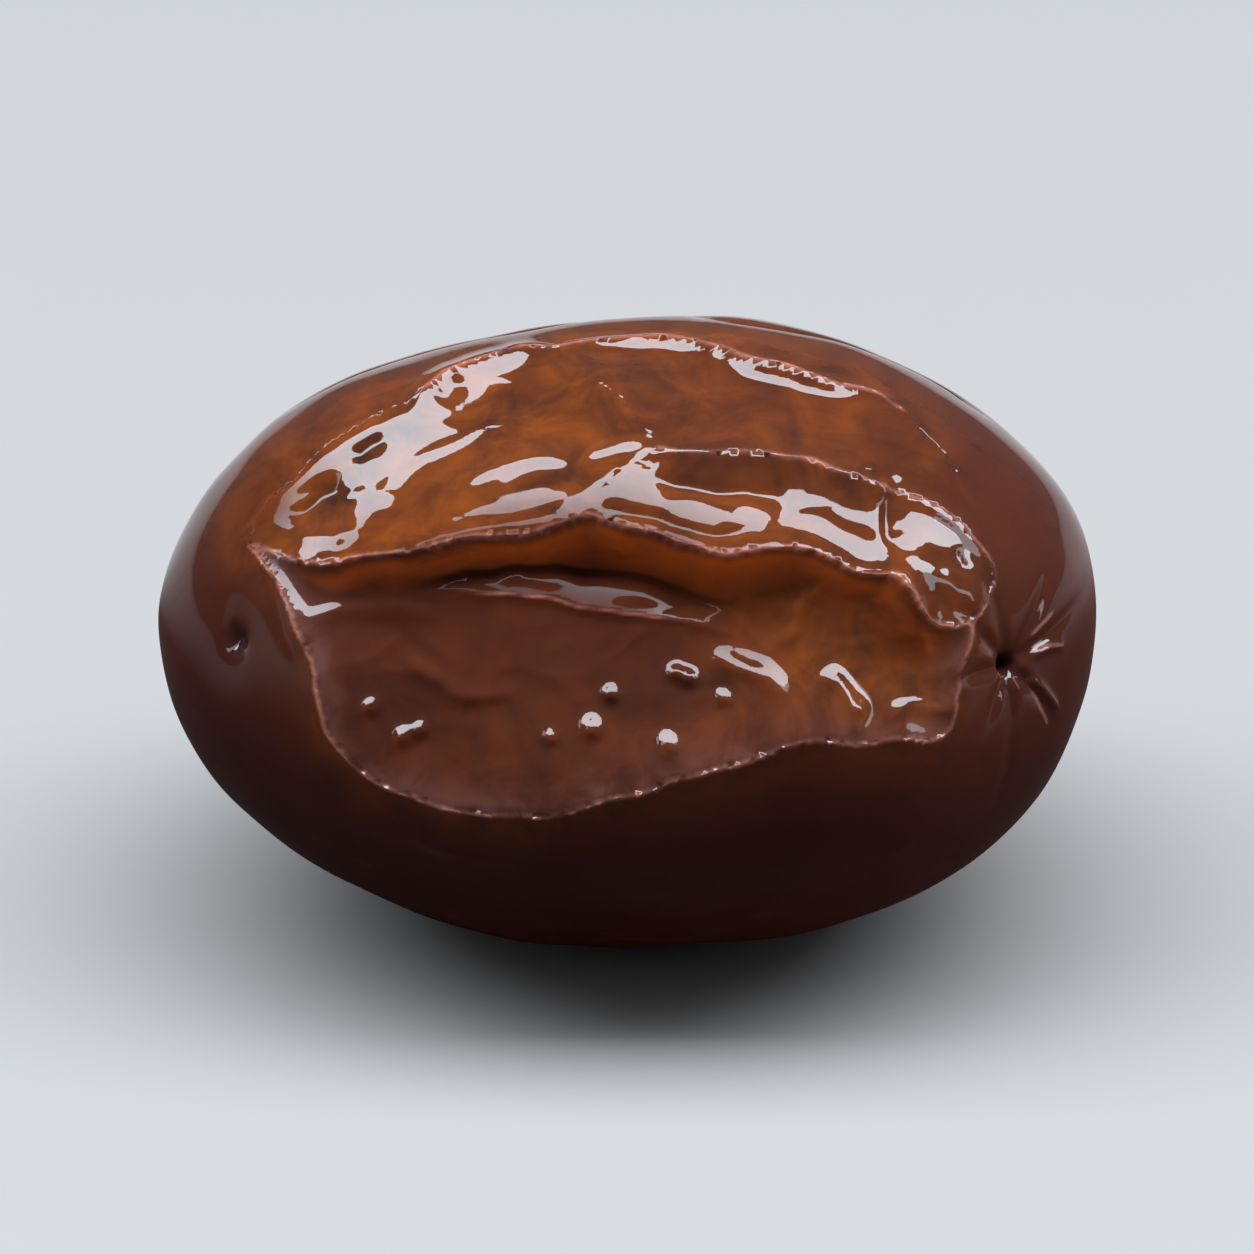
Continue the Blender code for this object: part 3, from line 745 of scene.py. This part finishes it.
    def end_marks(self, direction):
        """(depth, pit): how far the stem scar and the tip pit go in, as a shallow dimple, a round pit
        and creases out of the scar, and 1 inside the two pits."""
        points = self.plain(direction)
        scar, tip = self.plain(direction_of([SCAR_PLACE, TIP_PLACE]))
        from_scar = np.linalg.norm(points - scar, axis=1)
        from_tip = np.linalg.norm(points - tip, axis=1)
        scar_pit = np.exp(-((from_scar / SCAR_PIT_RADIUS) ** 4))
        tip_pit = np.exp(-((from_tip / TIP_PIT_RADIUS) ** 2))
        scar_dimple = np.exp(-((from_scar / SCAR_DIMPLE_RADIUS) ** 2))
        tip_dimple = np.exp(-((from_tip / TIP_DIMPLE_RADIUS) ** 2))
        depth = SCAR_DIMPLE_DEPTH * scar_dimple + SCAR_PIT_DEPTH * scar_pit
        depth += TIP_DIMPLE_DEPTH * tip_dimple + TIP_PIT_DEPTH * tip_pit
        out = self.outward(direction_of([SCAR_PLACE]))[0]
        level = np.cross(out, (0.0, 0.0, 1.0))
        level /= np.linalg.norm(level)
        turn = np.arctan2((points - scar) @ np.cross(out, level), (points - scar) @ level)
        draw = np.random.default_rng(SEED)
        for number in range(SCAR_CREASES):
            at = 2.0 * math.pi * (number + draw.uniform(-0.3, 0.3)) / SCAR_CREASES
            reach = SCAR_CREASE_REACH * draw.uniform(0.5, 1.0)
            off = np.abs(np.sin((turn - at) / 2.0)) * 2.0 * from_scar
            fade = np.exp(-((from_scar / reach) ** 2)) * np.clip(from_scar / SCAR_PIT_RADIUS, 0.0, 1.0)
            depth += SCAR_CREASE_DEPTH * fade * np.exp(-((off / SCAR_CREASE_WIDTH) ** 2))
        return depth, np.maximum(scar_pit, tip_pit)

    def fine_relief(self, direction, sunken):
        """Small folds where the skin has sunk, drawn out along the fruit, and pimples in the sunken
        front: the folds are ridges where noise changes sign, and each pimple is a low round rise."""
        points = self.plain(direction)
        drawn_out = points / (SMALL_FOLD_SIZE * SMALL_FOLD_STRETCH, SMALL_FOLD_SIZE, SMALL_FOLD_SIZE)
        folds = 1.0 - np.abs(smooth_noise(drawn_out, SEED + 5)) * 2.0
        patches = np.clip(0.5 + 1.2 * smooth_noise(points / SMALL_FOLD_PATCH_SIZE, SEED + 6), 0.0, 1.0)
        folds = np.clip(folds, 0.0, 1.0) ** 2 * patches * np.minimum(1.0, 1.5 * sunken)
        rise = self.shape.small_folds * folds
        draw = np.random.default_rng(SEED + 7)
        for spot in self.plain(direction_of(PIMPLES)):
            share = draw.uniform(0.6, 1.0)
            away = np.sum((points - spot) ** 2, axis=1) / (share * PIMPLE_WIDTH) ** 2
            rise += share * self.shape.pimples * np.exp(-away)
        return rise

    def skin(self, direction):
        """(points, tints): the finished skin, which is the plain fruit moved along its normals by
        lumps, panels, beads, folds and marks, and what its colours go by."""
        direction = self.drawn_to_crests(direction)
        points = self.plain(direction)
        crest_distance = self.nearest_on(direction, self.sharp_lines())[0]
        sink, sunken, amber, in_front = self.sunken_panels(direction)
        marks, pit = self.end_marks(direction)
        lumps = sum(share * smooth_noise(points / size, SEED + 3) for size, share in LUMPS)
        rise = self.shape.lumps * lumps
        rise += self.beads_and_folds(direction, crest_distance) - sink - marks
        rise += self.fine_relief(direction, sunken)
        tints = self.tints(direction, crest_distance, amber, in_front)
        tints.update(sunken=sunken, pit=pit)
        return points + self.outward(direction) * rise[:, None], tints

    def tints(self, direction, crest_distance, amber, in_front):
        """What the skin's colours go by, from 0 to 1: how amber it is, also on full skin near an
        outer crest and most of all on top, the painted light beside a crest, the pale painted highlight
        lines, the dulled oil, the painted sheen inside the front basin, and the back."""
        edge_distance = self.nearest_on(direction, self.outer_lines())[0]
        on_top = np.clip((direction[:, 2] - 0.2 * direction[:, 0] - 0.55) / 0.3, 0.0, 1.0)
        inside = amber * (1.0 - 0.5 * (1.0 - on_top) * np.exp(-edge_distance / AMBER_REACH))
        reach = AMBER_REACH + (TOP_AMBER_REACH - AMBER_REACH) * on_top
        outside = (0.5 + 0.4 * on_top) * np.exp(-edge_distance / reach)
        behind = np.clip(direction[:, 1] / 0.4, 0.0, 1.0)
        # Painted highlights: a pale line along the sharp crests, the rays out of the scar and the low ridge
        # inside the front basin
        line = np.exp(-crest_distance / HIGHLIGHT_LINE_REACH) * (1.0 - HIGHLIGHT_LINE_LOST_AT_BACK * behind)
        for places in [*RAY_HIGHLIGHTS, INNER_RIDGE]:
            distance, _, along = self.nearest_on(direction, [self.drawn_line(places)])
            fade = np.clip(5.0 * along * (1.0 - along), 0.0, 1.0)
            line = np.maximum(line, fade * np.exp(-distance / RAY_HIGHLIGHT_REACH))
        dull_lines = [self.drawn_line(places) for places in (INNER_GROOVE, INNER_RIDGE[:3])]
        dull_lines.append(self.crests["left_brow"])
        return {
            "amber": np.where(amber > 0.0, inside, outside),
            # Painted light beside a crest, less of it at the back
            "beside": np.exp(-crest_distance / PAINTED_GLOW_REACH) * (1.0 - PAINTED_GLOW_LOST_AT_BACK * behind),
            "line": line,
            "shade": np.exp(-((self.nearest_on(direction, dull_lines)[0] / DULL_REACH) ** 2)),
            # Painted sheen inside the front basin, near its lips
            "rim": np.where(in_front, np.exp(-edge_distance / SHEEN_REACH), 0.0),
            "behind": behind,
        }


def spread(density, count):
    """So many steps over the range of the density's places, the steps closer where it is higher, with
    both ends."""
    places, heights = np.array(density).T
    fine = np.linspace(places[0], places[-1], DENSITY_SAMPLES)
    there = np.interp(fine, places, heights)
    travelled = np.concatenate([[0.0], np.cumsum((there[1:] + there[:-1]) / 2)])
    return np.interp(np.linspace(0.0, travelled[-1], count + 1), travelled, fine)


def grid_directions(rows, columns):
    """Unit vectors of the grid, first the tip, then each row from the tip to the stem end, then the
    stem end.

    The way along is an angle from the tip and the way round is the roll, each with its own density."""
    angle = math.pi * spread(ROW_DENSITY, rows)[1:-1]
    roll = np.radians(spread(COLUMN_DENSITY, columns)[:-1])
    share = -np.cos(angle)[:, None] + 0.0 * roll
    across = np.sin(angle)[:, None]
    body = np.stack([share, -across * np.cos(roll), across * np.sin(roll)], axis=2).reshape(-1, 3)
    return np.vstack([[-1.0, 0.0, 0.0], body, [1.0, 0.0, 0.0]])


def grid_faces(rows, columns, height):
    """Triangles between the rows and a fan of them at each end, all facing outwards. Each four-sided
    cell is cut along the diagonal whose ends are higher, so that the edges of the triangles follow
    the crests."""
    column = np.arange(columns)
    beside = (column + 1) % columns
    row = 1 + columns * np.arange(rows - 2)[:, None]
    cells = np.stack([row + column, row + columns + column, row + columns + beside, row + beside], axis=2)
    first, second, third, fourth = cells.reshape(-1, 4).T
    straight = height[first] + height[third] > height[second] + height[fourth]
    lower = np.stack([first, second, np.where(straight, third, fourth)], axis=1)
    upper = np.stack([np.where(straight, first, second), third, fourth], axis=1)
    last = 1 + columns * (rows - 2)
    end = last + columns
    tip_fan = np.stack([np.zeros(columns, int), column + 1, beside + 1], axis=1)
    stem_fan = np.stack([np.full(columns, end), last + beside, last + column], axis=1)
    return np.vstack([lower, upper, tip_fan, stem_fan]).tolist()


def settled(points, flat_spot):
    """The points with the footprint centred on the origin and the lowest ones pressed up to the level
    of 0."""
    low, high = points.min(axis=0), points.max(axis=0)
    middle = (low + high) / 2
    points = points - (middle[0], middle[1], low[2] + flat_spot)
    points[:, 2] = np.maximum(points[:, 2], 0.0)
    return points


class Wire:
    """A socket that values come out of, which Python's own operators work on by adding Math nodes."""

    def __init__(self, board, socket):
        self.board = board
        self.socket = socket

    def math(self, operation, *values):
        return self.board.add("ShaderNodeMath", {"operation": operation}, dict(enumerate(values)))

    def __add__(self, other):
        return self.math("ADD", self, other)

    def __radd__(self, other):
        return self.math("ADD", other, self)

    def __sub__(self, other):
        return self.math("SUBTRACT", self, other)

    def __rsub__(self, other):
        return self.math("SUBTRACT", other, self)

    def __mul__(self, other):
        return self.math("MULTIPLY", self, other)

    def __rmul__(self, other):
        return self.math("MULTIPLY", other, self)

    def held(self):
        """The value, kept between 0 and 1."""
        return self.board.add("ShaderNodeMath", {"operation": "ADD", "use_clamp": True}, {0: self, 1: 0.0})


class Board:
    """A node tree, with the one method that adds any node to it."""

    def __init__(self, tree):
        self.tree = tree
        tree.nodes.clear()

    def add(self, kind, settings, inputs, out=0):
        """A node of that kind, its settings set first, then its inputs as values or as links from
        wires. Gives the wire out of its output."""
        node = self.tree.nodes.new(kind)
        for name, value in settings.items():
            setattr(node, name, value)
        for name, value in inputs.items():
            if isinstance(value, Wire):
                self.tree.links.new(value.socket, node.inputs[name])
            else:
                node.inputs[name].default_value = value
        return Wire(self, node.outputs[out]) if node.outputs else node

    def mix(self, share, first, second):
        """The first colour where share is 0, the second where it is 1."""
        colours = [value if isinstance(value, Wire) else (*value, 1.0) for value in (first, second)]
        settings = {"data_type": "RGBA", "clamp_factor": True}
        return self.add("ShaderNodeMix", settings, {0: share, 6: colours[0], 7: colours[1]}, 2)

    def step(self, value, low, high):
        """0 below low, 1 above high, and a smooth rise between them."""
        settings = {"interpolation_type": "SMOOTHSTEP"}
        return self.add("ShaderNodeMapRange", settings, {"Value": value, "From Min": low, "From Max": high})

    def noise(self, place, size, detail, roughness, distortion=0.0):
        """Noise from 0 to 1 whose features are of that size in metres."""
        values = {"Vector": place, "Scale": 1.0 / size, "Detail": detail, "Roughness": roughness}
        return self.add("ShaderNodeTexNoise", {}, {**values, "Distortion": distortion})

    def tint(self, name):
        return self.add("ShaderNodeAttribute", {"attribute_name": name}, {}, 2)


def oiled_skin(skin):
    """Maroon skin, darker below as painted shade and darker at the tip, amber where it has sunk in, orange
    painted light beside the steep crests, pale painted highlights on the crests and the scar's rays, and a
    painted sheen inside the front basin. It is mottled at three sizes, and lies under a film of oil that is
    fullest where the skin faces up."""
    material = bpy.data.materials.new("oiled_skin")
    material.use_nodes = True
    board = Board(material.node_tree)
    place = board.add("ShaderNodeTexCoord", {}, {}, 3)
    level = board.add("ShaderNodeSeparateXYZ", {}, {0: place}, 2)
    along = board.add("ShaderNodeSeparateXYZ", {}, {0: place}, 0)
    sunken, amber, beside = board.tint("sunken"), board.tint("amber"), board.tint("beside")
    pit, upward = board.tint("pit"), board.tint("upward")
    clouds = board.noise(place, CLOUD_SIZE, 3.0, 0.55)
    blotches = board.noise(place, BLOTCH_SIZE, 4.0, 0.6, 0.6)
    specks = board.noise(place, SPECK_SIZE, 2.0, 0.6)

    # Painted shade and light: full skin darker low down and lighter on top. It is also darker towards the
    # tip.
    height = board.step(level, 4.5 * MM, 13.5 * MM) * 0.75
    stem_side = board.step(along, -11.0 * MM, 12.0 * MM) * 0.3
    full = board.mix((height + stem_side + clouds * 0.5 - 0.3).held(), skin.shaded_belly, skin.lit_shoulder)
    thin = board.mix((blotches * 2.4 - 0.65).held(), skin.hollow, skin.amber)
    colour = board.mix((amber * (0.55 + clouds * 0.8)).held(), full, thin)
    # Painted light: orange light through the thin skin beside a steep crest, strongest where the face turns
    # down, away from the light overhead
    painted_glow_share = beside * board.step(sunken, 0.02, 0.15) * (1.0 - board.step(upward, -0.1, 0.55))
    colour = board.mix((painted_glow_share * (0.5 + blotches)).held(), colour, skin.painted_glow)
    drawn_out = board.add("ShaderNodeMapping", {}, {"Vector": place, "Scale": STREAK_SQUEEZE})
    streaks = board.noise(drawn_out, STREAK_SIZE, 3.0, 0.6, 0.8)
    colour = board.mix((board.step(streaks, 0.5, 0.75) * 0.45).held(), colour, skin.hollow)
    colour = board.mix((board.step(specks, 0.60, 0.85) * 0.12).held(), colour, skin.shaded_belly)
    # Painted sheen: a blotchy pale band just inside the front basin's lips
    painted_sheen = board.tint("rim") * (0.15 + board.step(blotches, 0.4, 0.65) * 0.6)
    colour = board.mix(painted_sheen.held(), colour, skin.painted_sheen)
    # Painted highlight: the pale line along the crests and rays, broken up by blotches
    line = board.step(board.tint("line"), 0.5, 1.0) * board.step(blotches, 0.3, 0.6)
    colour = board.mix((line * 0.5).held(), colour, skin.edge)
    colour = board.mix(pit, colour, skin.pit)

    stretched = board.add("ShaderNodeMapping", {}, {"Vector": place, "Scale": RELIEF_SQUEEZE})
    grain = board.noise(stretched, GRAIN_SIZE, 2.0, 0.5, 0.3)
    ripples = board.noise(stretched, RIPPLE_SIZE, 1.0, 0.5, 0.3)
    relief = ripples * (0.15 + sunken * 0.6) + grain * (0.03 + sunken * 0.05)
    bump = board.add("ShaderNodeBump", {}, {"Height": relief, "Distance": RELIEF_DEPTH, "Strength": 1.0})
    roughness = skin.roughness + (blotches - 0.5) * 0.2 + pit * 0.3
    faces_up = board.step(upward, 0.14, 0.58) * (1.0 - board.tint("shade") * 0.97)
    coat = skin.oil * (0.06 + board.tint("behind") * 0.35 + faces_up)

    inputs = {
        "Base Color": colour,
        "Roughness": roughness.held(),
        "Normal": bump,
        "Coat Weight": coat.held(),
        "Coat Roughness": 0.03,
        "Coat IOR": 1.42,
        "Specular IOR Level": 0.0,
        "Subsurface Weight": 0.35,
        "Subsurface Radius": (1.0, 0.28, 0.1),
        "Subsurface Scale": skin.light_depth,
    }
    shader = board.add("ShaderNodeBsdfPrincipled", {"subsurface_method": "RANDOM_WALK"}, inputs)
    board.add("ShaderNodeOutputMaterial", {}, {"Surface": shader})
    return material


def pale_floor_paint(colour):
    material = bpy.data.materials.new("pale_floor_paint")
    material.use_nodes = True
    board = Board(material.node_tree)
    inputs = {"Base Color": (*colour, 1.0), "Roughness": 0.6}
    shader = board.add("ShaderNodeBsdfPrincipled", {}, inputs)
    board.add("ShaderNodeOutputMaterial", {}, {"Surface": shader})
    return material


def softbox(name, place, size, brightness, aim):
    """An area light of that width and length, whose face has that brightness, turned towards aim."""
    light = bpy.data.lights.new(name, "AREA")
    light.shape = "RECTANGLE"
    light.size, light.size_y = size
    light.energy = brightness * math.pi * size[0] * size[1]
    light.color = LIGHT_COLOUR
    lamp = bpy.data.objects.new(name, light)
    bpy.context.collection.objects.link(lamp)
    lamp.location = place
    lamp.rotation_euler = (Vector(aim) - Vector(place)).to_track_quat("-Z", "Y").to_euler()


class OLIVE_OT_fruit(bpy.types.Operator):
    """Build the fruit's skin in place of its plain solid"""

    bl_idname = "olive.fruit"
    bl_label = "Fruit"

    def execute(self, context):
        shape = context.scene.olive_shape
        directions = grid_directions(shape.rows, shape.columns)
        points, tints = Fruit(shape).skin(directions)
        surface = bpy.data.meshes.new("olive_skin")
        faces = grid_faces(shape.rows, shape.columns, tints["line"])
        surface.from_pydata(settled(points, shape.flat_spot).tolist(), [], faces)
        surface.update()
        normals = np.empty(len(surface.vertices) * 3, np.float32)
        surface.vertices.foreach_get("normal", normals)
        tints["upward"] = normals.reshape(-1, 3)[:, 2]
        for name, values in tints.items():
            layer = surface.attributes.new(name, "FLOAT", "POINT")
            layer.data.foreach_set("value", values.astype(np.float32))
        surface.shade_smooth()
        surface.materials.append(oiled_skin(context.scene.olive_skin))
        fruit = bpy.data.objects.new("olive_skin", surface)
        context.collection.objects.link(fruit)
        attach(fruit, "root")
        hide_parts("olive")
        return {"FINISHED"}


class OLIVE_OT_stage(bpy.types.Operator):
    """Lay the pale floor and set up the soft light and the camera"""

    bl_idname = "olive.stage"
    bl_label = "Stage"

    def execute(self, context):
        stage = context.scene.olive_stage
        low, high = CAD_BOX
        middle = (low + high) / 2
        sides = ((-1, -1), (1, -1), (1, 1), (-1, 1))
        corners = [(x * HALF_FLOOR, y * HALF_FLOOR, FLOOR_LEVEL) for x, y in sides]
        sheet = bpy.data.meshes.new("pale_floor")
        sheet.from_pydata(corners, [], [(0, 1, 2, 3)])
        sheet.materials.append(pale_floor_paint(stage.floor))
        floor = bpy.data.objects.new("pale_floor", sheet)
        context.collection.objects.link(floor)

        softbox("overhead", *OVERHEAD, stage.key_light, middle)
        softbox("left_strip", *LEFT_STRIP, stage.side_light, middle)
        softbox("right_strip", *RIGHT_STRIP, stage.side_light, middle)

        sky = bpy.data.worlds.new("studio")
        sky.use_nodes = True
        board = Board(sky.node_tree)
        light = board.add("ShaderNodeBackground", {}, {"Color": SKY_COLOUR, "Strength": SKY_STRENGTH})
        board.add("ShaderNodeOutputWorld", {}, {"Surface": light})
        context.scene.world = sky
        context.scene.view_settings.view_transform = "Standard"

        view = bpy.data.cameras.new("view")
        view.lens = stage.lens
        view.clip_start, view.clip_end = 1.0 * MM, 10.0
        camera = bpy.data.objects.new("view", view)
        context.collection.objects.link(camera)
        back = Vector((0.0, -math.cos(stage.camera_rise), math.sin(stage.camera_rise)))
        camera.location = middle + back * stage.camera_distance
        camera.rotation_euler = (-back).to_track_quat("-Z", "Y").to_euler()
        context.scene.camera = camera
        return {"FINISHED"}


class OLIVE_PT_sidebar(bpy.types.Panel):
    bl_label = "Olive"
    bl_idname = "OLIVE_PT_sidebar"
    bl_space_type = "VIEW_3D"
    bl_region_type = "UI"
    bl_category = "Olive"

    def draw(self, context):
        groups = (("olive_shape", "olive.fruit"), ("olive_skin", None), ("olive_stage", "olive.stage"))
        for group, button in groups:
            values = getattr(context.scene, group)
            box = self.layout.box()
            for name in values.__annotations__:
                box.prop(values, name)
            if button:
                box.operator(button)


CLASSES = (OliveShape, OliveSkin, OliveStage, OLIVE_OT_fruit, OLIVE_OT_stage, OLIVE_PT_sidebar)


def register():
    for kind in CLASSES:
        bpy.utils.register_class(kind)
    bpy.types.Scene.olive_shape = PointerProperty(type=OliveShape)
    bpy.types.Scene.olive_skin = PointerProperty(type=OliveSkin)
    bpy.types.Scene.olive_stage = PointerProperty(type=OliveStage)


def unregister():
    del bpy.types.Scene.olive_shape
    del bpy.types.Scene.olive_skin
    del bpy.types.Scene.olive_stage
    for kind in reversed(CLASSES):
        bpy.utils.unregister_class(kind)


def main():
    register()
    bpy.ops.olive.fruit()
    bpy.ops.olive.stage()


if __name__ == "__main__":
    main()
